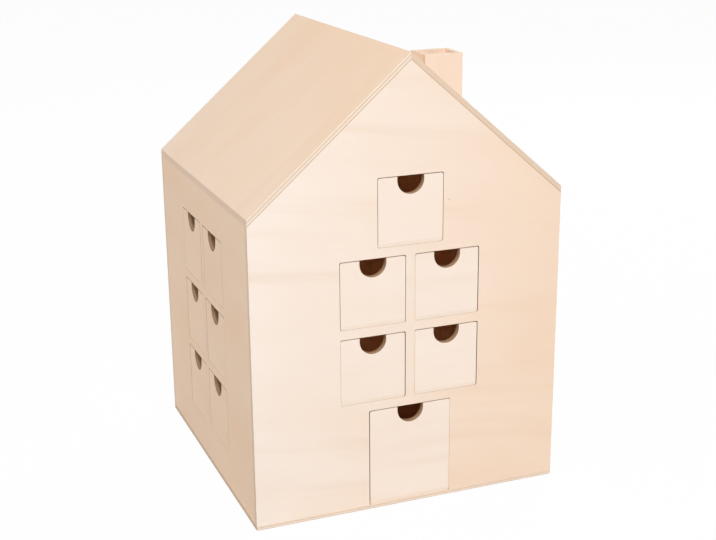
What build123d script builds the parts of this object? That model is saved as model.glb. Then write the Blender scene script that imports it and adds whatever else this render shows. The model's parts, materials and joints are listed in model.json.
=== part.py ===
from build123d import *

import os
from math import hypot
from typing import NamedTuple

# Wooden advent calendar: a plywood house with a chimney and one drawer for each day.
# Millimetres, origin under the middle of the base, +Z up, front wall facing -Y, +X to the right.

# House, measured to the outside of the walls and the top of the roof
house_width = 300.0
house_depth = 300.0
eave_height = 290.0
ridge_height = 421.0
wall_ply = 5.0
roof_ply = 5.0
base_ply = 4.0

# Openings for the drawers
opening_width = 63.0
opening_height = 63.0
opening_corner = 1.6
bar = 9.0  # wood left between two neighbouring openings
door_width = 81.0
door_height = 94.5
front_rows = 2  # paired rows of the wall with the door
side_rows = 3  # paired rows of the other walls

# Drawers
side_gap = 0.45
rub_gap = 0.15  # what is left of the side gap where a drawer has been pushed over to one side
top_gap = 0.7
floor_gap = 0.1
stop_gap = 0.5
front_ply = 6.0
box_ply = 3.0
box_drop = 7.0  # how far the box stays below the top of its front
notch_width = 25.5
notch_straight = 3.5

# Days whose drawers sit off the middle of their openings, as seen from outside
pushed_left = (3, 4, 5, 7)
pushed_right = (6, 9, 10, 11)

# Boards inside the house
guide_ply = 5.0

# Chimney, on the right-hand slope
chimney_from_ridge = 93.0  # level distance from the ridge to the middle of the chimney
chimney_width = 40.0
chimney_depth = 35.0
chimney_rise = 56.2  # height above the roof at the chimney's middle
chimney_ply = 5.0

# Roof lines
half_width = house_width / 2
half_depth = house_depth / 2
roof_slope = (ridge_height - eave_height) / half_width
roof_upright = roof_ply * hypot(1, roof_slope)  # the roof board's thickness along a plumb line

# Grid of drawers: columns and rows are one opening and one bar apart
column_pitch = opening_width + bar
row_pitch = opening_height + bar
cell_height = row_pitch - guide_ply
cell_relief = (bar - guide_ply) / 2  # room beside a drawer, beyond the edge of its opening
core_half = column_pitch + guide_ply / 2


class Opening(NamedTuple):
    """One drawer opening: its middle along the wall, its sill and its size."""

    middle: float
    sill: float
    width: float
    height: float


class Wall(NamedTuple):
    """One wall: its turn about Z, its distance from the middle, its openings and its paired rows."""

    turn: float
    reach: float
    openings: list
    sills: list


def pair(sill):
    """Two openings side by side."""
    left = Opening(-column_pitch / 2, sill, opening_width, opening_height)
    return [left, left._replace(middle=column_pitch / 2)]


def rows(sills):
    """Paired openings from the top row down."""
    return [opening for sill in reversed(sills) for opening in pair(sill)]


door = Opening(0, base_ply, door_width, door_height)
front_first_sill = door.sill + door.height + bar
front_sills = [front_first_sill + row_pitch * row for row in range(front_rows)]
gable = Opening(0, front_sills[-1] + row_pitch, opening_width, opening_height)

# Without a door, the rows are centred between the ground and the eave
side_rows_height = row_pitch * side_rows - bar
side_first_sill = (eave_height - side_rows_height) / 2
side_sills = [side_first_sill + row_pitch * row for row in range(side_rows)]

# Every wall is drawn as the front wall, with its outer face on y = 0, then turned into its place
walls = {
    "front": Wall(0, half_depth, [gable, *rows(front_sills), door], front_sills),
    "left": Wall(270, half_width, rows(side_sills), side_sills),
    "back": Wall(180, half_depth, rows(side_sills), side_sills),
    "right": Wall(90, half_width, rows(side_sills), side_sills),
}


def placed(wall, shape):
    """Move a shape drawn for the front wall into the given wall."""
    return Rot(0, 0, wall.turn) * Pos(0, -wall.reach, 0) * shape


def upright(face, near, thickness):
    """A board whose face is drawn in X and Z, from y = near inwards."""
    return extrude(Plane.XZ.offset(-near) * face, -thickness)


def block(x_span, y_span, z_span):
    """A plain board between pairs of limits."""
    low, high = zip(x_span, y_span, z_span)
    size = [top - bottom for bottom, top in zip(low, high)]
    return Pos(*low) * Box(*size, align=(Align.MIN, Align.MIN, Align.MIN))


def mirrored_pair(inner, thickness, y_span, z_span):
    """Two like boards, left and right of the wall's middle."""
    right = block((inner, inner + thickness), y_span, z_span)
    left = block((-inner - thickness, -inner), y_span, z_span)
    return [left, right]


def roof_top(x):
    """Height of the roof's upper face above the given distance from the ridge."""
    return ridge_height - roof_slope * abs(x)


def roof_under(x):
    """Height of the roof's lower face."""
    return roof_top(x) - roof_upright


def opening_cuts(wall):
    """The drawer openings of a wall, as cutters right through it."""
    cuts = []
    for opening in wall.openings:
        # The door's opening runs out through the bottom edge of its panel
        overrun = 2 * opening_corner if opening is door else 0
        height = opening.height + overrun
        middle = opening.sill - overrun + height / 2
        face = Pos(opening.middle, middle) * RectangleRounded(opening.width, height, opening_corner)
        cuts.append(upright(face, 0, wall_ply))
    return cuts


def gable_panel(wall):
    """Front or back wall: a gabled board that stands on the base and covers the side walls' ends."""
    outline = Polygon(
        (-half_width, base_ply),
        (half_width, base_ply),
        (half_width, roof_under(half_width)),
        (0, roof_under(0)),
        (-half_width, roof_under(half_width)),
        align=None,
    )
    return placed(wall, upright(outline, 0, wall_ply) - opening_cuts(wall))


def side_panel(wall):
    """Left or right wall: fits between the gables, bevelled at the top to the slope of the roof."""
    section = Polygon(
        (0, base_ply),
        (wall_ply, base_ply),
        (wall_ply, roof_under(half_width - wall_ply)),
        (0, roof_under(half_width)),
        align=None,
    )
    board = extrude(Plane.YZ * section, half_depth - wall_ply, both=True)
    return placed(wall, board - opening_cuts(wall))


def base_panel():
    """Square board under the walls."""
    return block((-half_width, half_width), (-half_depth, half_depth), (0, base_ply))


def roof_board(side):
    """One slope of the roof, cut plumb at the ridge and at the eave."""
    section = Polygon(
        (0, roof_top(0)),
        (side * half_width, roof_top(half_width)),
        (side * half_width, roof_under(half_width)),
        (0, roof_under(0)),
        align=None,
    )
    return extrude(Plane.XZ * section, half_depth, both=True)


def chimney_board(x_span, y_span):
    """One wall of the chimney, standing on the roof's slope."""
    low, high = x_span
    top = roof_top(chimney_from_ridge) + chimney_rise
    face = Polygon((low, roof_top(low)), (high, roof_top(high)), (high, top), (low, top), align=None)
    return upright(face, y_span[0], y_span[1] - y_span[0])


def chimney():
    """Open box of four boards: the front and back ones cover the ends of the other two."""
    west = chimney_from_ridge - chimney_width / 2
    east = chimney_from_ridge + chimney_width / 2
    outer = chimney_depth / 2
    inner = outer - chimney_ply
    return [
        chimney_board((west, east), (-outer, -inner)),
        chimney_board((west, east), (inner, outer)),
        chimney_board((west, west + chimney_ply), (-inner, inner)),
        chimney_board((east - chimney_ply, east), (-inner, inner)),
    ]


def bank_depth(wall):
    """Y limits of the boards between the wall's panel and the core."""
    return wall_ply, wall.reach - core_half


def bank_top(wall):
    """Top of the shelf over the wall's highest pair of drawers."""
    return wall.sills[-1] + row_pitch


def shelves(wall):
    """Shelf under each pair of drawers and one over the highest, with a lid over the gable drawer."""
    inner = column_pitch - guide_ply / 2
    tops = [*wall.sills, bank_top(wall)]
    boards = [block((-inner, inner), bank_depth(wall), (top - guide_ply, top)) for top in tops]
    if gable in wall.openings:
        outer = gable.width / 2 + cell_relief + guide_ply
        lid = bank_top(wall) + cell_height
        boards.append(block((-outer, outer), bank_depth(wall), (lid, lid + guide_ply)))
    return [placed(wall, board) for board in boards]


def cheeks(wall):
    """Upright guides beside the bank of drawers, and beside the door and gable drawers."""
    depth = bank_depth(wall)
    boards = mirrored_pair(column_pitch - guide_ply / 2, guide_ply, depth, (base_ply, bank_top(wall)))
    if door in wall.openings:
        under_shelf = (base_ply, wall.sills[0] - guide_ply)
        boards += mirrored_pair(door.width / 2 + cell_relief, guide_ply, depth, under_shelf)
    if gable in wall.openings:
        over_shelf = (bank_top(wall), bank_top(wall) + cell_height)
        boards += mirrored_pair(gable.width / 2 + cell_relief, guide_ply, depth, over_shelf)
    return [placed(wall, board) for board in boards]


def dividers(wall):
    """Upright board between the two columns, one piece in each row."""
    half = guide_ply / 2
    boards = [block((-half, half), bank_depth(wall), (sill, sill + cell_height)) for sill in wall.sills]
    return [placed(wall, board) for board in boards]


def core_wall(wall):
    """Board behind a bank of drawers; the front and back ones cover the ends of the other two."""
    half = core_half if wall.turn % 180 == 0 else core_half - guide_ply
    near = wall.reach - core_half
    top = bank_top(wall) + (row_pitch if gable in wall.openings else 0)
    return placed(wall, block((-half, half), (near, near + guide_ply), (base_ply, top)))


def push_of(day):
    """How far a day's drawer sits to the right of the middle of its opening."""
    side = (day in pushed_right) - (day in pushed_left)
    return side * (side_gap - rub_gap)


def drawer(wall, opening, push):
    """Front board and box of one drawer: the box's floor runs out under the front board."""
    length = wall.reach - core_half - stop_gap
    width = opening.width - 2 * side_gap
    height = opening.height - floor_gap - top_gap
    bottom = opening.sill + floor_gap
    top = bottom + height
    middle = opening.middle + push
    left = middle - width / 2
    right = middle + width / 2

    # The front and the floor's edge together make one outline with rounded corners
    outline = Pos(middle, bottom + height / 2) * RectangleRounded(width, height, opening_corner)
    floor_edge = Pos(middle, bottom + box_ply / 2) * Rectangle(width, box_ply)
    notch_depth = notch_straight + notch_width / 2
    notch = Pos(middle, top) * SlotOverall(2 * notch_depth, notch_width, rotation=90)
    front = upright(outline - floor_edge - notch, 0, front_ply)

    walls_z = (bottom + box_ply, top - box_drop)
    sides_y = (front_ply, length - box_ply)
    box = [
        upright(outline & floor_edge, 0, length),
        block((left, left + box_ply), sides_y, walls_z),
        block((right - box_ply, right), sides_y, walls_z),
        block((left, right), (length - box_ply, length), walls_z),
    ]
    return placed(wall, front), [placed(wall, board) for board in box]


def save(name, *boards):
    """Write one node: a single board, or a group of separate ones."""
    shape = boards[0] if len(boards) == 1 else Compound(children=boards)
    shape.label = name
    export_step(shape, f"parts/{name}.step")


def every(make):
    """The boards of one kind from all four walls."""
    return [board for wall in walls.values() for board in make(wall)]


os.makedirs("parts", exist_ok=True)
save("front_panel", gable_panel(walls["front"]))
save("back_panel", gable_panel(walls["back"]))
save("left_panel", side_panel(walls["left"]))
save("right_panel", side_panel(walls["right"]))
save("base_panel", base_panel())
save("roof_left", roof_board(-1))
save("roof_right", roof_board(1))
save("chimney", *chimney())
save("shelves", *every(shelves))
save("cheeks", *every(cheeks))
save("dividers", *every(dividers))
save("core_walls", *[core_wall(wall) for wall in walls.values()])

cells = [(wall, opening) for wall in walls.values() for opening in wall.openings]
for day, (wall, opening) in enumerate(cells, start=1):
    front, box = drawer(wall, opening, push_of(day))
    save(f"drawer_{day:02d}_front", front)
    save(f"drawer_{day:02d}_box", *box)
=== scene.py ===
"""Wooden advent calendar: a plywood house with a chimney and a drawer for each day, in a white studio."""

import json
import math
import random

import bmesh
import bpy
from bpy.props import FloatProperty, FloatVectorProperty, PointerProperty
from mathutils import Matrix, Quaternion, Vector

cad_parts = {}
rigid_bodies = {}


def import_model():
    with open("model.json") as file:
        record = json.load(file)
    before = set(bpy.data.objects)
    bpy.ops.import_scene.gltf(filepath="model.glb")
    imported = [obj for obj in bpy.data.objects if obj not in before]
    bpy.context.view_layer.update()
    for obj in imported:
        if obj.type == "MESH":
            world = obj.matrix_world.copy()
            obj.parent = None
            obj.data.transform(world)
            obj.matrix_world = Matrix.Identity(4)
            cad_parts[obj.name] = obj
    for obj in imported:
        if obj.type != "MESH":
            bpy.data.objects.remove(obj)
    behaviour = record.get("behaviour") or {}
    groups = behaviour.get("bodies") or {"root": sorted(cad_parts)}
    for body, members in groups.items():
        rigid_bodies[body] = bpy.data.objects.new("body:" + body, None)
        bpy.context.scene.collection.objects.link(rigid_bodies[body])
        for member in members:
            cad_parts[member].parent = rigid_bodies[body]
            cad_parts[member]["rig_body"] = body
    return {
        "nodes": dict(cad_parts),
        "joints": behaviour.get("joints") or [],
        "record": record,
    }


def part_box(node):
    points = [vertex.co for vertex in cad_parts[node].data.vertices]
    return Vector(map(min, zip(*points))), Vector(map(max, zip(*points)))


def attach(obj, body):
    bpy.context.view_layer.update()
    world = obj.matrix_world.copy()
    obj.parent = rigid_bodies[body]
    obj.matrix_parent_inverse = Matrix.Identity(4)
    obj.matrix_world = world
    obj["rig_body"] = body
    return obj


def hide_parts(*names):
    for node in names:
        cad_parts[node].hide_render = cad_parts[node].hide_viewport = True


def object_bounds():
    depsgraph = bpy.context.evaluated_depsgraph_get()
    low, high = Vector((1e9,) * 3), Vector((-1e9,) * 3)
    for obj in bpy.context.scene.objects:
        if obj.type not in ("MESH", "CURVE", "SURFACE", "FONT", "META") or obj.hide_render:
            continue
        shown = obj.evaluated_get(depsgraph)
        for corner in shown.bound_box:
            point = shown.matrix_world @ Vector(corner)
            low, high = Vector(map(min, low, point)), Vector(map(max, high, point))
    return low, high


bl_info = {
    "name": "Wooden Advent Calendar",
    "version": (1, 0, 0),
    "blender": (4, 5, 0),
    "location": "View3D > Sidebar > Advent",
    "description": "Adds the boards, drawers and studio of a plywood advent calendar",
    "category": "Add Mesh",
}

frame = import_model()
cad_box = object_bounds()

MM = 0.001
X, Y, Z = Vector((1, 0, 0)), Vector((0, 1, 0)), Vector((0, 0, 1))
# A cut further than this from the outside of a board is an opening's
SAWN_RIM = 5 * MM
# Two directions are taken as one where their cosine is over this
SAME_WAY = 0.9
# Faces that meet at less than this are one face
FLAT_ANGLE = math.radians(1)
# Faces that meet at less than this are shaded as one
SMOOTH_ANGLE = math.radians(20)
# Edges that are sharper than this are eased
SHARP_ANGLE = math.radians(30)

# Degrees that a board's grain may run off its length
GRAIN_SKEW = 3
# Metres, either way, that a board may lie from the middle of its sheet
SHEET_REACH = 9
# Middle and half width of the core ply, as shares of the sheet's thickness
CORE_MIDDLE = 0.62
CORE_HALF = 0.09
# Share of the thickness that the rim of a square cut takes up, where a dark line of painted shade stands
# for the joint between boards
JOINT_SHADE_RIM = 0.11
# A cut is slanted where more of its normal than this points through the sheet
SLANTED_CUT = 0.3
# A face is no cut where more of its normal than this points through the sheet
FACE_CUT = 0.95
# A cell has a fleck where its random draw, from 0 to 1, is over this
FLECK_DRAW = 0.988

# Where the frame says that things go
slot_of = {part["node"]: part["material_slot"] for part in frame["record"]["subparts"]}
slides = [joint for joint in frame["joints"] if joint["type"] == "slide"]

# How warm the sheets are from one end of the grain to the other: 0 is the pale colour and 1 the warm one.
# Partly painted light: the front, which faces the key lamp, is painted paler, and the left wall and the
# roof warmer, as lit and shaded wood looks; the rest is the sheets' own tones
INNER_TONES = (1.0, 1.0)
sheet_tones_and_painted_light = {
    # Painted light: the front is paler at its left, where the key lamp falls strongest
    "front_panel": (-0.19, 1.0),
    "left_panel": (1.15, 1.15),
    "back_panel": (0.5, 0.8),
    "right_panel": (0.8, 0.7),
    "base_panel": (0.5, 0.8),
    "roof_left": (0.75, 1.1),
    "roof_right": (1.1, 1.1),
    "chimney": (0.5, 0.5),
}
# How warm the drawer fronts are, by the direction that their wall faces: painted light, paler on the front
# wall, which faces the key lamp, and warmer on the left wall in its shade, as their walls are
painted_light_front_tones = {(0, -1): 0.1, (-1, 0): 1.1, (0, 1): 0.6, (1, 0): 0.7}


def painted_front_tone(slide):
    """How warm a drawer's front is: its wall's painted light, paler facing the key lamp and warmer in its
    shade.
    """
    return painted_light_front_tones[tuple(round(share) for share in slide["axis"][:2])]


def linear(hex_colour):
    """An sRGB hex colour as linear red, green and blue."""
    shares = [int(hex_colour[at:at + 2], 16) / 255 for at in (0, 2, 4)]
    return [share / 12.92 if share <= 0.04045 else ((share + 0.055) / 1.055) ** 2.4 for share in shares]


class BoardSettings(bpy.types.PropertyGroup):
    """Sizes of the boards that their boxes in the frame don't tell."""

    edge_easing: FloatProperty(
        name="Edge Easing",
        description="How far sanding has taken the sharp edges back",
        default=0.15 * MM, min=0, subtype="DISTANCE", unit="LENGTH",
    )
    corner_radius: FloatProperty(
        name="Corner Radius",
        description="Radius of the drawer fronts' upper corners",
        default=1.6 * MM, min=0, subtype="DISTANCE", unit="LENGTH",
    )
    notch_width: FloatProperty(
        name="Notch Width",
        description="Width of the finger notch",
        default=25.5 * MM, min=0, subtype="DISTANCE", unit="LENGTH",
    )
    notch_depth: FloatProperty(
        name="Notch Depth",
        description="Depth of the finger notch below the drawer front's top edge",
        default=16.25 * MM, min=0, subtype="DISTANCE", unit="LENGTH",
    )


class WoodSettings(bpy.types.PropertyGroup):
    """Colours of the plywood."""

    pale: FloatVectorProperty(
        name="Pale Face",
        description="Sanded face of the palest sheets",
        default=linear("F7E7D9"), min=0, max=1, subtype="COLOR",
    )
    warm: FloatVectorProperty(
        name="Warm Face",
        description="Sanded face of the warmest sheets",
        default=linear("F2D6BC"), min=0, max=1, subtype="COLOR",
    )
    inner: FloatVectorProperty(
        name="Inner Face",
        description="Face of the yellower sheets inside the house and the drawers",
        default=linear("F8DAB2"), min=0, max=1, subtype="COLOR",
    )
    band: FloatVectorProperty(
        name="Growth Band",
        description="Darker growth bands along the face",
        default=linear("EBCDB2"), min=0, max=1, subtype="COLOR",
    )
    side_grain: FloatVectorProperty(
        name="Side Grain",
        description="Plies that are cut along their fibres",
        default=linear("F1DECB"), min=0, max=1, subtype="COLOR",
    )
    end_grain: FloatVectorProperty(
        name="End Grain",
        description="Plies that are cut across their fibres",
        default=linear("DDC1A6"), min=0, max=1, subtype="COLOR",
    )
    scorch: FloatVectorProperty(
        name="Scorch",
        description="Cut faces of the openings and the drawer fronts, browned by the cutter",
        default=linear("B4906F"), min=0, max=1, subtype="COLOR",
    )
    fleck: FloatVectorProperty(
        name="Fleck",
        description="Short dark flecks in the face",
        default=linear("B48E70"), min=0, max=1, subtype="COLOR",
    )


class StudioSettings(bpy.types.PropertyGroup):
    """Camera and light."""

    camera_place: FloatVectorProperty(
        name="Camera Place",
        description="Where the camera stands",
        default=(-0.4506, -1.1677, 0.5826), subtype="TRANSLATION", unit="LENGTH",
    )
    camera_turn: FloatVectorProperty(
        name="Camera Turn",
        description="How the camera is turned",
        default=[math.radians(angle) for angle in (72.324, 0.475, -21.632)],
        subtype="EULER", unit="ROTATION",
    )
    camera_lens: FloatProperty(
        name="Camera Lens",
        description="Focal length on a 36 mm wide sensor, in millimetres",
        default=66.13, min=1,
    )
    ambient: FloatProperty(
        name="Ambient",
        description="Strength of the even light from all sides",
        default=0.2, min=0,
    )
    key_power: FloatProperty(
        name="Key Power",
        description="Power of the large lamp above the camera",
        default=115, min=0, unit="POWER",
    )
    side_power: FloatProperty(
        name="Side Power",
        description="Power of the large lamp to the left of the house",
        default=16, min=0, unit="POWER",
    )
    back_power: FloatProperty(
        name="Back Power",
        description="Power of the large lamp behind the house, which lights the walls that face away",
        default=30, min=0, unit="POWER",
    )


def add(tree, kind, inputs=(), **settings):
    """Add a node with its settings. Inputs that are given a node or socket are linked, others are set."""
    made = tree.nodes.new(kind)
    for name, value in settings.items():
        setattr(made, name, value)
    for key, value in dict(inputs).items():
        if isinstance(value, bpy.types.Node):
            value = next(socket for socket in value.outputs if socket.enabled)
        if isinstance(value, bpy.types.NodeSocket):
            tree.links.new(value, made.inputs[key])
        else:
            made.inputs[key].default_value = value
    return made


def ply_edge(tree, sheet, cut):
    """Colour of a thick sheet's edges: a thin dark core between two pale plies, browned by the cutter.

    Each ply is dark where it is cut across its fibres, and the core's run across the others'. A slanted
    cut keeps the sheet's colour. The cutter browns the outer plies more than the core. A dark line of
    painted shade, darkest of all, runs along the rim of a square cut at the face from which the thickness
    is measured, where boards meet in joints.
    """
    wood = bpy.context.scene.advent_wood
    grain = add(tree, "ShaderNodeAttribute", attribute_name="grain").outputs["Vector"]
    # At the base's outer edges this browning also carries painted shade of the foot on the floor
    scorch_and_shade = add(tree, "ShaderNodeAttribute", attribute_name="scorch_and_shade").outputs["Fac"]
    through = add(tree, "ShaderNodeSeparateXYZ", {"Vector": grain}).outputs["Z"]
    slanted = add(tree, "ShaderNodeMath", {0: cut["Z"], 1: SLANTED_CUT}, operation="GREATER_THAN")
    along_fibres = add(tree, "ShaderNodeMix", {
        "Factor": slanted, "A": [*wood.side_grain, 1], "B": sheet,
    }, data_type="RGBA")
    core = add(tree, "ShaderNodeMath", {0: through, 1: CORE_MIDDLE, 2: CORE_HALF}, operation="COMPARE")
    end_share = add(tree, "ShaderNodeMix", {
        "Factor": core,
        "A": add(tree, "ShaderNodeMapRange", {
            "Value": cut["X"], "From Min": 0.3, "From Max": 0.95, "To Max": 0.8,
        }),
        "B": add(tree, "ShaderNodeMapRange", {"Value": cut["Y"], "To Min": 0.7, "To Max": 1.0}),
    }, data_type="FLOAT")
    plies = add(tree, "ShaderNodeMix", {
        "Factor": end_share, "A": along_fibres, "B": [*wood.end_grain, 1],
    }, data_type="RGBA")
    # The square rim is painted darker: painted shade of the joints between boards
    rim = add(tree, "ShaderNodeMath", {0: through, 1: JOINT_SHADE_RIM}, operation="LESS_THAN")
    joint_shade_rim = add(tree, "ShaderNodeMath", {0: rim, 1: slanted}, operation="SUBTRACT", use_clamp=True)
    spared = add(tree, "ShaderNodeMapRange", {"Value": core, "To Min": 1.0, "To Max": 0.55})
    brown_and_shade_share = add(tree, "ShaderNodeMath", {
        0: add(tree, "ShaderNodeMath", {0: scorch_and_shade, 1: spared}, operation="MULTIPLY"),
        1: add(tree, "ShaderNodeMapRange", {"Value": joint_shade_rim, "To Max": 0.85}),
    }, operation="MAXIMUM")
    return add(tree, "ShaderNodeMix", {
        "Factor": brown_and_shade_share, "A": plies, "B": [*wood.scorch, 1],
    }, data_type="RGBA")


def plywood(name, warm, banding, thin):
    """Sanded limewood plywood, unfinished: a pale, dull and close-grained face.

    The eye sees soft clouds, a few faint bands along the grain and here and there a short fleck, and the
    plies on the edges of sheets that aren't thin.

    Each board's own directions are in its mesh: "grain" holds the distances along and across the grain in
    metres and the share of the thickness, "cut" how squarely a face is cut across the grain, along it, or
    lies in the sheet, "scorch_and_shade" how far the cutter has browned it, with painted shade at the
    base's outer edges, and "tone" how warm the sheet is, which also holds painted light where lit walls
    are paler.
    """
    wood = bpy.context.scene.advent_wood
    material = bpy.data.materials.new(name)
    material.use_nodes = True
    tree = material.node_tree
    tree.nodes.clear()
    grain = add(tree, "ShaderNodeAttribute", attribute_name="grain").outputs["Vector"]
    squareness = add(tree, "ShaderNodeAttribute", attribute_name="cut").outputs["Vector"]
    cut = add(tree, "ShaderNodeSeparateXYZ", {"Vector": squareness}).outputs
    tone = add(tree, "ShaderNodeAttribute", attribute_name="tone").outputs["Fac"]

    # Clouds, about 120 mm long and 50 mm wide, shift the tone of the sheet
    in_clouds = add(tree, "ShaderNodeVectorMath", {
        0: grain, 1: (1 / (120 * MM), 1 / (50 * MM), 0),
    }, operation="MULTIPLY")
    clouds = add(tree, "ShaderNodeTexNoise", {"Vector": in_clouds, "Scale": 1.0, "Detail": 1.0})
    cloudy = add(tree, "ShaderNodeMapRange", {
        "Value": clouds.outputs[0], "From Min": 0.25, "From Max": 0.75, "To Min": -0.15, "To Max": 0.15,
    })
    sheet = add(tree, "ShaderNodeMix", {
        "Factor": add(tree, "ShaderNodeMath", {0: tone, 1: cloudy}, operation="ADD"),
        "A": [*wood.pale, 1], "B": [*warm, 1],
    }, data_type="RGBA", clamp_factor=False)

    # Growth bands, about 22 mm wide and 350 mm long, wander a few millimetres to and fro along the board
    in_wander = add(tree, "ShaderNodeVectorMath", {
        0: grain, 1: (1 / (160 * MM), 1 / (50 * MM), 0),
    }, operation="MULTIPLY")
    wander = add(tree, "ShaderNodeTexNoise", {"Vector": in_wander, "Scale": 1.0, "Detail": 1.0})
    drift = add(tree, "ShaderNodeVectorMath", {
        0: wander.outputs["Color"], 1: (0, 14 * MM, 0),
    }, operation="MULTIPLY")
    wavy = add(tree, "ShaderNodeVectorMath", {0: grain, 1: drift}, operation="ADD")
    in_bands = add(tree, "ShaderNodeVectorMath", {
        0: wavy, 1: (1 / (350 * MM), 1 / (22 * MM), 0),
    }, operation="MULTIPLY")
    bands = add(tree, "ShaderNodeTexNoise", {"Vector": in_bands, "Scale": 1.0, "Detail": 2.0})
    band_share = add(tree, "ShaderNodeMapRange", {
        "Value": bands.outputs[0], "From Min": 0.5, "From Max": 0.85, "To Max": banding,
    }, interpolation_type="SMOOTHSTEP")
    banded = add(tree, "ShaderNodeMix", {
        "Factor": band_share, "A": sheet, "B": [*wood.band, 1],
    }, data_type="RGBA")

    # Flecks, about 3 mm long, one in about eighty cells of 20 by 5 mm
    in_cells = add(tree, "ShaderNodeVectorMath", {
        0: wavy, 1: (1 / (20 * MM), 1 / (5 * MM), 0),
    }, operation="MULTIPLY")
    cells = add(tree, "ShaderNodeTexVoronoi", {"Vector": in_cells, "Scale": 1.0})
    fleck_here = add(tree, "ShaderNodeMapRange", {
        "Value": cells.outputs["Distance"], "From Min": 0.12, "From Max": 0.05, "To Max": 0.5,
    })
    draw = add(tree, "ShaderNodeSeparateColor", {"Color": cells.outputs["Color"]}).outputs["Red"]
    fleck_drawn = add(tree, "ShaderNodeMath", {0: draw, 1: FLECK_DRAW}, operation="GREATER_THAN")
    fleck_share = add(tree, "ShaderNodeMath", {0: fleck_here, 1: fleck_drawn}, operation="MULTIPLY")
    flecked = add(tree, "ShaderNodeMix", {
        "Factor": fleck_share, "A": banded, "B": [*wood.fleck, 1],
    }, data_type="RGBA")

    # The edge of a thin sheet is plain, a little nearer to end grain than its face
    if thin:
        edge = add(tree, "ShaderNodeMix", {
            "Factor": 0.15, "A": sheet, "B": [*wood.end_grain, 1],
        }, data_type="RGBA")
    else:
        edge = ply_edge(tree, sheet, cut)
    in_sheet = add(tree, "ShaderNodeMath", {0: cut["Z"], 1: FACE_CUT}, operation="GREATER_THAN")
    colour = add(tree, "ShaderNodeMix", {"Factor": in_sheet, "A": edge, "B": flecked}, data_type="RGBA")

    # Fibres are finer than a tenth of a millimetre: drawn 0.8 mm wide and 25 mm long so that they show
    in_fibres = add(tree, "ShaderNodeVectorMath", {
        0: wavy, 1: (1 / (25 * MM), 1 / (0.8 * MM), 0),
    }, operation="MULTIPLY")
    fibres = add(tree, "ShaderNodeTexNoise", {
        "Vector": in_fibres, "Scale": 1.0, "Detail": 2.0,
    }).outputs[0]
    fibred = add(tree, "ShaderNodeMix", {
        "Factor": 1.0, "A": colour,
        "B": add(tree, "ShaderNodeMapRange", {"Value": fibres, "To Min": 0.975, "To Max": 1.025}),
    }, data_type="RGBA", blend_type="MULTIPLY")
    height = add(tree, "ShaderNodeMath", {0: fibres, 1: fleck_share}, operation="SUBTRACT")

    surface = add(tree, "ShaderNodeBsdfPrincipled", {
        "Base Color": fibred,
        "Roughness": add(tree, "ShaderNodeMapRange", {"Value": fibres, "To Min": 0.55, "To Max": 0.75}),
        "IOR": 1.5,
        "Specular IOR Level": 0.35,
        "Normal": add(tree, "ShaderNodeBump", {"Strength": 0.2, "Distance": 0.1 * MM, "Height": height}),
    })
    add(tree, "ShaderNodeOutputMaterial", {"Surface": surface})
    return material


def wood_of(slot):
    """The plywood of a material slot, made once."""
    name = f"limewood_plywood_{slot}"
    wood = bpy.context.scene.advent_wood
    if name in bpy.data.materials:
        return bpy.data.materials[name]
    if slot in ("drawer_boxes", "inner_boards"):
        return plywood(name, wood.inner, banding=0.3, thin=True)
    return plywood(name, wood.warm, banding=0.3 if slot == "drawer_fronts" else 0.45, thin=False)


def show(mesh, node):
    """Stand a finished mesh in for a node, on the node's body and in its material slot."""
    mesh.shade_smooth()
    mesh.set_sharp_from_angle(angle=SMOOTH_ANGLE)
    piece = bpy.data.objects.new(f"{node}_wood", mesh)
    bpy.context.scene.collection.objects.link(piece)
    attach(piece, frame["nodes"][node]["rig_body"])
    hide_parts(node)


def boards_in(shape):
    """The separate boards of a shape, each as a list of vertices, sorted by their middles."""
    seen = set()
    boards = []
    for start in shape.verts:
        if start in seen:
            continue
        seen.add(start)
        board = [start]
        for vertex in board:
            for edge in vertex.link_edges:
                other = edge.other_vert(vertex)
                if other not in seen:
                    seen.add(other)
                    board.append(other)
        boards.append(board)
    return sorted(boards, key=lambda board: [round(share, 6) for share in middle_of(board)])


def box_of(board):
    """Lowest and highest corner of a board."""
    low = Vector([min(vertex.co[axis] for vertex in board) for axis in range(3)])
    high = Vector([max(vertex.co[axis] for vertex in board) for axis in range(3)])
    return low, high


def middle_of(board):
    """Middle of a board's box."""
    low, high = box_of(board)
    return (low + high) / 2


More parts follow.
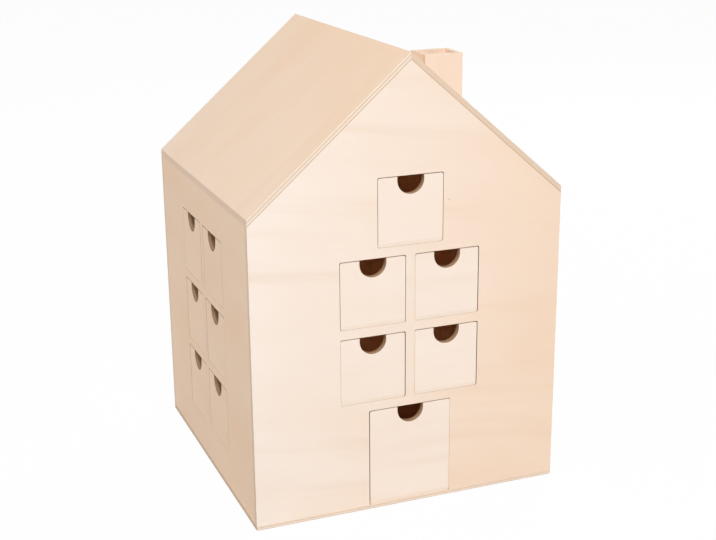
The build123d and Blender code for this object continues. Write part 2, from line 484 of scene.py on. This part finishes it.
def lay_grain(shape, along, tones, level_tones, rim_darkening, chance):
    """Write each board's own directions, its random place in a sheet and its tones into the shape."""
    grain = shape.verts.layers.float_vector.new("grain")
    cut = shape.faces.layers.float_vector.new("cut")
    scorch_and_shade = shape.faces.layers.float.new("scorch_and_shade")
    shade = shape.verts.layers.float.new("tone")
    for board in boards_in(shape):
        faces = list(dict.fromkeys(face for vertex in board for face in vertex.link_faces))
        widest = max(faces, key=lambda face: face.calc_area())
        through = widest.normal.copy()
        if max(through, key=abs) < 0:
            through.negate()
        low, high = box_of(board)
        longest_first = sorted((X, Y, Z), key=(high - low).dot, reverse=True)
        ways = (along or longest_first[0], *longest_first)
        length = next(way for way in ways if abs(way.dot(through)) < SAME_WAY)
        length = (length - length.dot(through) * through).normalized()
        length.rotate(Quaternion(through, math.radians(chance.uniform(-GRAIN_SKEW, GRAIN_SKEW))))
        across = through.cross(length)
        runs = [vertex.co.dot(length) for vertex in board]
        start, end = min(runs), max(runs)
        depths = [vertex.co.dot(through) for vertex in board]
        under, over = min(depths), max(depths)
        first, last = level_tones if abs(through.z) > SAME_WAY else tones
        figure = Vector([chance.uniform(-SHEET_REACH, SHEET_REACH) for way in "xy"]).to_3d()
        for vertex, run, depth in zip(board, runs, depths):
            share = (depth - under) / (over - under)
            end_share = (run - start) / (end - start)
            vertex[grain] = figure + Vector((run, vertex.co.dot(across), share))
            vertex[shade] = first + (last - first) * end_share
        in_sheet = [axis for axis in range(3) if abs(through[axis]) < SAME_WAY]
        for face in faces:
            face[cut] = [abs(face.normal.dot(direction)) for direction in (length, across, through)]
            middle = face.calc_center_median()
            to_rim = min(min(middle[axis] - low[axis], high[axis] - middle[axis]) for axis in in_sheet)
            # Outer edges cut across the grain are darkened by the given share: the cutter's browning, and
            # at the base also painted shade of its foot on the floor
            face[scorch_and_shade] = 1.0 if to_rim > SAWN_RIM else rim_darkening * face[cut].x


def boards_apart(mesh):
    """The boards of a node in one shape, merged one by one.

    A board's triangles follow one another and close it, so it ends where every side has its pair.
    """
    shape = bmesh.new()
    corners = {}
    unpaired = set()
    for triangle in mesh.polygons:
        places = [mesh.vertices[index].co.to_tuple(6) for index in triangle.vertices]
        for place in places:
            if place not in corners:
                corners[place] = shape.verts.new(place)
        shape.faces.new([corners[place] for place in places])
        unpaired ^= {frozenset(side) for side in zip(places, places[1:] + places[:1])}
        if not unpaired:
            corners = {}
    return shape


def add_boards(node, along=None, level_tones=None, rim_darkening=0.0):
    """The boards of a node with their edges eased. The grain runs along, or else the longest way.

    Level boards can have tones of their own. A board's outer edges are darkened by the share that is
    given, where it was cut across the grain: the cutter's browning, and at the base also painted shade of
    its foot.
    """
    tones = sheet_tones_and_painted_light.get(node, INNER_TONES)
    shape = boards_apart(frame["nodes"][node].data)
    shape.normal_update()
    bmesh.ops.dissolve_limit(shape, angle_limit=FLAT_ANGLE, verts=shape.verts, edges=shape.edges)
    sharp = [edge for edge in shape.edges if edge.calc_face_angle(0) > SHARP_ANGLE]
    bmesh.ops.bevel(
        shape, geom=sharp, affect="EDGES", offset_type="OFFSET", profile=0.5, segments=2,
        clamp_overlap=True, offset=bpy.context.scene.advent_boards.edge_easing,
    )
    lay_grain(shape, along, tones, level_tones or tones, rim_darkening, random.Random(node))
    mesh = bpy.data.meshes.new(f"{node}_wood")
    shape.to_mesh(mesh)
    shape.free()
    mesh.materials.append(wood_of(slot_of[node]))
    show(mesh, node)


def drawer_front_tree():
    """Geometry nodes that cut one drawer front: a board with two round corners and a finger notch."""
    tree = bpy.data.node_groups.new("Drawer Front", "GeometryNodeTree")
    sockets = (
        ("Width", "NodeSocketFloat"),
        ("Height", "NodeSocketFloat"),
        ("Thickness", "NodeSocketFloat"),
        ("Corner Radius", "NodeSocketFloat"),
        ("Notch Width", "NodeSocketFloat"),
        ("Notch Depth", "NodeSocketFloat"),
        ("Place", "NodeSocketVector"),
        ("Turn", "NodeSocketFloat"),
        ("Tone", "NodeSocketFloat"),
        ("Day", "NodeSocketInt"),
        ("Wood", "NodeSocketMaterial"),
    )
    for name, kind in sockets:
        tree.interface.new_socket(name, in_out="INPUT", socket_type=kind)
    tree.interface.new_socket("Geometry", in_out="OUTPUT", socket_type="NodeSocketGeometry")
    given = add(tree, "NodeGroupInput").outputs

    # Three outlines are filled together, and where two of them overlap there is no wood: the board, which
    # goes on below its foot, the notch, which goes on above the top edge, and a strip below the foot. What
    # lies outside the board is deleted. The notch's radius is a hair under half its width, so that none of
    # its sides shrinks to nothing
    below = add(tree, "ShaderNodeMath", {0: given["Corner Radius"], 1: 2.0}, operation="MULTIPLY")
    board_height = add(tree, "ShaderNodeMath", {0: given["Height"], 1: below}, operation="ADD")
    notch_height = add(tree, "ShaderNodeMath", {0: given["Notch Depth"], 1: 2.0}, operation="MULTIPLY")
    notch_radius = add(tree, "ShaderNodeMath", {0: given["Notch Width"], 1: 0.4999}, operation="MULTIPLY")
    strip_width = add(tree, "ShaderNodeMath", {0: given["Width"], 1: 2.0}, operation="MULTIPLY")
    strip_height = add(tree, "ShaderNodeMath", {0: below, 1: 2.0}, operation="MULTIPLY")
    hangs_from = -0.5
    centred_on = 0.0
    # Each has its width and height, the radius and steps of its corners, and the level where it is
    outlines = (
        (given["Width"], board_height, given["Corner Radius"], 5, hangs_from, given["Height"]),
        (given["Notch Width"], notch_height, notch_radius, 14, centred_on, given["Height"]),
        (strip_width, strip_height, given["Corner Radius"], 1, hangs_from, 0.0),
    )
    drawn = add(tree, "GeometryNodeJoinGeometry")
    for width, height, radius, steps, lift, top in outlines:
        flat = add(tree, "GeometryNodeCurvePrimitiveQuadrilateral", {"Width": width, "Height": height})
        rounded = add(tree, "GeometryNodeFilletCurve", {
            "Curve": flat, "Radius": radius, "Count": steps,
        }, mode="POLY")
        middle = add(tree, "ShaderNodeMath", {0: height, 1: lift, 2: top}, operation="MULTIPLY_ADD")
        moved = add(tree, "GeometryNodeTransform", {
            "Geometry": rounded, "Translation": add(tree, "ShaderNodeCombineXYZ", {"Y": middle}),
        })
        tree.links.new(moved.outputs[0], drawn.inputs[0])
    filled = add(tree, "GeometryNodeFillCurve", {"Curve": drawn}, mode="NGONS")
    spot = add(tree, "GeometryNodeInputPosition")
    level = add(tree, "ShaderNodeSeparateXYZ", {"Vector": spot}).outputs["Y"]
    outside = add(tree, "FunctionNodeBooleanMath", {
        0: add(tree, "ShaderNodeMath", {0: level, 1: 0.0}, operation="LESS_THAN"),
        1: add(tree, "ShaderNodeMath", {0: level, 1: given["Height"]}, operation="GREATER_THAN"),
    }, operation="OR")
    face = add(tree, "GeometryNodeDeleteGeometry", {
        "Geometry": filled, "Selection": outside,
    }, domain="FACE")

    # The face is drawn out to the board's thickness and closed behind
    raised = add(tree, "GeometryNodeExtrudeMesh", {
        "Mesh": face, "Offset Scale": given["Thickness"], "Individual": False,
    })
    solid = add(tree, "GeometryNodeJoinGeometry")
    for part in (raised, add(tree, "GeometryNodeFlipFaces", {"Mesh": face})):
        tree.links.new(part.outputs[0], solid.inputs[0])
    board = add(tree, "GeometryNodeMergeByDistance", {"Geometry": solid, "Distance": 0.001 * MM})

    # The board's own directions, and a random place in its sheet
    place = add(tree, "ShaderNodeSeparateXYZ", {"Vector": add(tree, "GeometryNodeInputPosition")}).outputs
    share = add(tree, "ShaderNodeMath", {0: place["Z"], 1: given["Thickness"]}, operation="DIVIDE")
    figure = add(tree, "FunctionNodeRandomValue", {
        "Min": (-SHEET_REACH, -SHEET_REACH, 0), "Max": (SHEET_REACH, SHEET_REACH, 0),
        "ID": given["Day"], "Seed": 24,
    }, data_type="FLOAT_VECTOR")
    own = add(tree, "ShaderNodeCombineXYZ", {"X": place["X"], "Y": place["Y"], "Z": share})
    grained = add(tree, "GeometryNodeStoreNamedAttribute", {
        "Geometry": board, "Name": "grain",
        "Value": add(tree, "ShaderNodeVectorMath", {0: own, 1: figure}, operation="ADD"),
    }, data_type="FLOAT_VECTOR", domain="POINT")
    facing = add(tree, "GeometryNodeInputNormal")
    shown = add(tree, "GeometryNodeStoreNamedAttribute", {
        "Geometry": grained, "Name": "cut",
        "Value": add(tree, "ShaderNodeVectorMath", {0: facing}, operation="ABSOLUTE"),
    }, data_type="FLOAT_VECTOR", domain="FACE")
    # The cutter browned the top edge less than the rest
    top_spared = 0.7
    top_edge = add(tree, "ShaderNodeMath", {
        0: place["Y"], 1: given["Height"], 2: 0.01 * MM,
    }, operation="COMPARE")
    browned = add(tree, "GeometryNodeStoreNamedAttribute", {
        "Geometry": shown, "Name": "scorch_and_shade",
        "Value": add(tree, "ShaderNodeMath", {
            0: top_edge, 1: -top_spared, 2: 1.0,
        }, operation="MULTIPLY_ADD"),
    }, data_type="FLOAT", domain="FACE")
    toned = add(tree, "GeometryNodeStoreNamedAttribute", {
        "Geometry": browned, "Name": "tone", "Value": given["Tone"],
    }, data_type="FLOAT", domain="POINT")

    # It is stood up, turned to its wall and set in its opening
    stood = add(tree, "GeometryNodeTransform", {"Geometry": toned, "Rotation": (math.radians(90), 0, 0)})
    turned = add(tree, "GeometryNodeTransform", {
        "Geometry": stood, "Translation": given["Place"],
        "Rotation": add(tree, "ShaderNodeCombineXYZ", {"Z": given["Turn"]}),
    })
    real = add(tree, "GeometryNodeRealizeInstances", {"Geometry": turned})
    dressed = add(tree, "GeometryNodeSetMaterial", {"Geometry": real, "Material": given["Wood"]})
    add(tree, "NodeGroupOutput", {"Geometry": dressed})
    return tree


def add_drawer_front(tree, slide):
    """One drawer front, at the size and place of its node."""
    boards = bpy.context.scene.advent_boards
    node = f"{slide['child']}_front"
    low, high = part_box(node)
    outward = Vector(slide["axis"])
    thickness = abs((high - low).dot(outward))
    inner_foot = (low + high) / 2 - outward * thickness / 2
    inner_foot.z = low.z
    values = {
        "Width": abs((high - low).dot(outward.cross(Z))),
        "Height": high.z - low.z,
        "Thickness": thickness,
        "Corner Radius": boards.corner_radius,
        "Notch Width": boards.notch_width,
        "Notch Depth": boards.notch_depth,
        "Place": inner_foot,
        "Turn": math.atan2(outward.x, -outward.y),
        "Tone": painted_front_tone(slide),
        "Day": int(slide["child"].split("_")[1]),
        "Wood": wood_of(slot_of[node]),
    }
    blank = bpy.data.objects.new("blank", bpy.data.meshes.new("blank"))
    bpy.context.scene.collection.objects.link(blank)
    cutter = blank.modifiers.new("Drawer Front", "NODES")
    cutter.node_group = tree
    for socket in tree.interface.items_tree:
        if socket.in_out == "INPUT":
            cutter[socket.identifier] = values[socket.name]
    easing = blank.modifiers.new("Eased Edges", "BEVEL")
    easing.limit_method = "ANGLE"
    easing.angle_limit = SHARP_ANGLE
    easing.width = boards.edge_easing
    easing.segments = 2
    evaluated = blank.evaluated_get(bpy.context.evaluated_depsgraph_get())
    mesh = bpy.data.meshes.new_from_object(evaluated)
    mesh.name = f"{node}_wood"
    bpy.data.objects.remove(blank)
    show(mesh, node)


class ADVENT_OT_walls(bpy.types.Operator):
    """Add the four walls and the base"""

    bl_idname = "advent.walls"
    bl_label = "Walls and Base"

    def execute(self, context):
        # The front's grain runs down a little to the right
        add_boards("front_panel", Vector((1, 0, -0.1)), rim_darkening=0.12)
        add_boards("left_panel", Y)
        add_boards("back_panel", X)
        add_boards("right_panel", Y)
        # The base's edges across the grain are darkened more: painted shade of the foot on the floor, over
        # the cutter's browning
        add_boards("base_panel", X, rim_darkening=0.45)
        return {"FINISHED"}


class ADVENT_OT_roof(bpy.types.Operator):
    """Add the two slopes of the roof"""

    bl_idname = "advent.roof"
    bl_label = "Roof"

    def execute(self, context):
        add_boards("roof_left", X)
        add_boards("roof_right", Y)
        return {"FINISHED"}


class ADVENT_OT_chimney(bpy.types.Operator):
    """Add the hollow chimney"""

    bl_idname = "advent.chimney"
    bl_label = "Chimney"

    def execute(self, context):
        add_boards("chimney", Z)
        return {"FINISHED"}


class ADVENT_OT_inner_boards(bpy.types.Operator):
    """Add the shelves, guides and core inside the house"""

    bl_idname = "advent.inner_boards"
    bl_label = "Inner Boards"

    def execute(self, context):
        for node in ("shelves", "cheeks", "dividers", "core_walls"):
            add_boards(node)
        return {"FINISHED"}


class ADVENT_OT_drawer_fronts(bpy.types.Operator):
    """Add the notched front of every drawer"""

    bl_idname = "advent.drawer_fronts"
    bl_label = "Drawer Fronts"

    def execute(self, context):
        tree = drawer_front_tree()
        for slide in slides:
            add_drawer_front(tree, slide)
        return {"FINISHED"}


class ADVENT_OT_drawer_boxes(bpy.types.Operator):
    """Add the floor, sides and back of every drawer"""

    bl_idname = "advent.drawer_boxes"
    bl_label = "Drawer Boxes"

    def execute(self, context):
        for slide in slides:
            # The floor shows its edge under the front, and its tone goes with the front's painted tone, so
            # it is paler under fronts that face the key lamp
            floor_tone = 0.1 + 0.6 * painted_front_tone(slide)
            across = Vector(slide["axis"]).cross(Z)
            add_boards(f"{slide['child']}_box", across, level_tones=(floor_tone, floor_tone))
        return {"FINISHED"}


def white_to_camera(tree, lit, share):
    """Mix a shader with plain white in what the camera, mirrors and glass see."""
    path = add(tree, "ShaderNodeLightPath").outputs
    seen = add(tree, "ShaderNodeMath", {
        0: path["Is Camera Ray"], 1: path["Is Glossy Ray"],
    }, operation="MAXIMUM")
    seen = add(tree, "ShaderNodeMath", {0: seen, 1: path["Is Transmission Ray"]}, operation="MAXIMUM")
    factor = add(tree, "ShaderNodeMath", {0: seen, 1: share}, operation="MULTIPLY")
    white = add(tree, "ShaderNodeEmission", {"Color": (1, 1, 1, 1), "Strength": 1.0})
    return add(tree, "ShaderNodeMixShader", {0: factor, 1: lit, 2: white})


def add_floor():
    """Wide matt white floor, a little below the base, that keeps a faint shadow."""
    reach = 6
    gap = 0.2 * MM
    shape = bmesh.new()
    bmesh.ops.create_grid(shape, x_segments=1, y_segments=1, size=reach)
    bmesh.ops.translate(shape, vec=(0, 0, -gap), verts=shape.verts)
    mesh = bpy.data.meshes.new("floor")
    shape.to_mesh(mesh)
    shape.free()
    paint = bpy.data.materials.new("matt_white_paint")
    paint.use_nodes = True
    tree = paint.node_tree
    tree.nodes.clear()
    lit = add(tree, "ShaderNodeBsdfDiffuse", {"Color": (0.8, 0.8, 0.8, 1)})
    add(tree, "ShaderNodeOutputMaterial", {"Surface": white_to_camera(tree, lit, share=0.97)})
    mesh.materials.append(paint)
    floor = bpy.data.objects.new("floor", mesh)
    bpy.context.scene.collection.objects.link(floor)


def add_lamp(name, place, size, power):
    """Square soft lamp that shines on the middle of the house."""
    lamp = bpy.data.lights.new(name, "AREA")
    lamp.shape = "SQUARE"
    lamp.size = size
    lamp.energy = power
    holder = bpy.data.objects.new(name, lamp)
    holder.location = place
    aim = Vector((0, 0, cad_box[1].z / 2)) - holder.location
    holder.rotation_euler = aim.to_track_quat("-Z", "Y").to_euler()
    bpy.context.scene.collection.objects.link(holder)


class ADVENT_OT_studio(bpy.types.Operator):
    """Add the floor, the lamps, the white surroundings and the camera"""

    bl_idname = "advent.studio"
    bl_label = "Studio"

    def execute(self, context):
        scene = context.scene
        studio = scene.advent_studio
        add_floor()
        add_lamp("key", place=(-0.52, -2.88, 2.94), size=1.5, power=studio.key_power)
        add_lamp("side", place=(-2.25, 0.0, 1.5), size=1.2, power=studio.side_power)
        add_lamp("back", place=(1.5, 1.5, 1.7), size=1.2, power=studio.back_power)

        world = bpy.data.worlds.new("white_studio")
        world.use_nodes = True
        tree = world.node_tree
        tree.nodes.clear()
        even = add(tree, "ShaderNodeBackground", {"Color": (1, 1, 1, 1), "Strength": studio.ambient})
        add(tree, "ShaderNodeOutputWorld", {"Surface": white_to_camera(tree, even, share=1.0)})
        scene.world = world

        lens = bpy.data.cameras.new("camera")
        lens.sensor_width = 36
        lens.lens = studio.camera_lens
        camera = bpy.data.objects.new("camera", lens)
        camera.location = studio.camera_place
        camera.rotation_euler = studio.camera_turn
        scene.collection.objects.link(camera)
        scene.camera = camera
        # Light goes to and fro many times in a pale wooden box before it fades, and browns on the way
        scene.cycles.diffuse_bounces = 12
        scene.view_settings.view_transform = "Standard"
        return {"FINISHED"}


operators = (
    ADVENT_OT_walls,
    ADVENT_OT_roof,
    ADVENT_OT_chimney,
    ADVENT_OT_inner_boards,
    ADVENT_OT_drawer_fronts,
    ADVENT_OT_drawer_boxes,
    ADVENT_OT_studio,
)


class ADVENT_PT_calendar(bpy.types.Panel):
    """The calendar's settings and pieces"""

    bl_label = "Wooden Advent Calendar"
    bl_space_type = "VIEW_3D"
    bl_region_type = "UI"
    bl_category = "Advent"

    def draw(self, context):
        scene = context.scene
        for settings in (scene.advent_boards, scene.advent_wood, scene.advent_studio):
            box = self.layout.box()
            for name in settings.__annotations__:
                box.prop(settings, name)
        for operator in operators:
            self.layout.operator(operator.bl_idname)


classes = (BoardSettings, WoodSettings, StudioSettings, *operators, ADVENT_PT_calendar)


def register():
    for each in classes:
        bpy.utils.register_class(each)
    bpy.types.Scene.advent_boards = PointerProperty(type=BoardSettings)
    bpy.types.Scene.advent_wood = PointerProperty(type=WoodSettings)
    bpy.types.Scene.advent_studio = PointerProperty(type=StudioSettings)


def unregister():
    del bpy.types.Scene.advent_studio
    del bpy.types.Scene.advent_wood
    del bpy.types.Scene.advent_boards
    for each in reversed(classes):
        bpy.utils.unregister_class(each)


def main():
    register()
    bpy.ops.advent.walls()
    bpy.ops.advent.roof()
    bpy.ops.advent.chimney()
    bpy.ops.advent.inner_boards()
    bpy.ops.advent.drawer_fronts()
    bpy.ops.advent.drawer_boxes()
    bpy.ops.advent.studio()


if __name__ == "__main__":
    main()
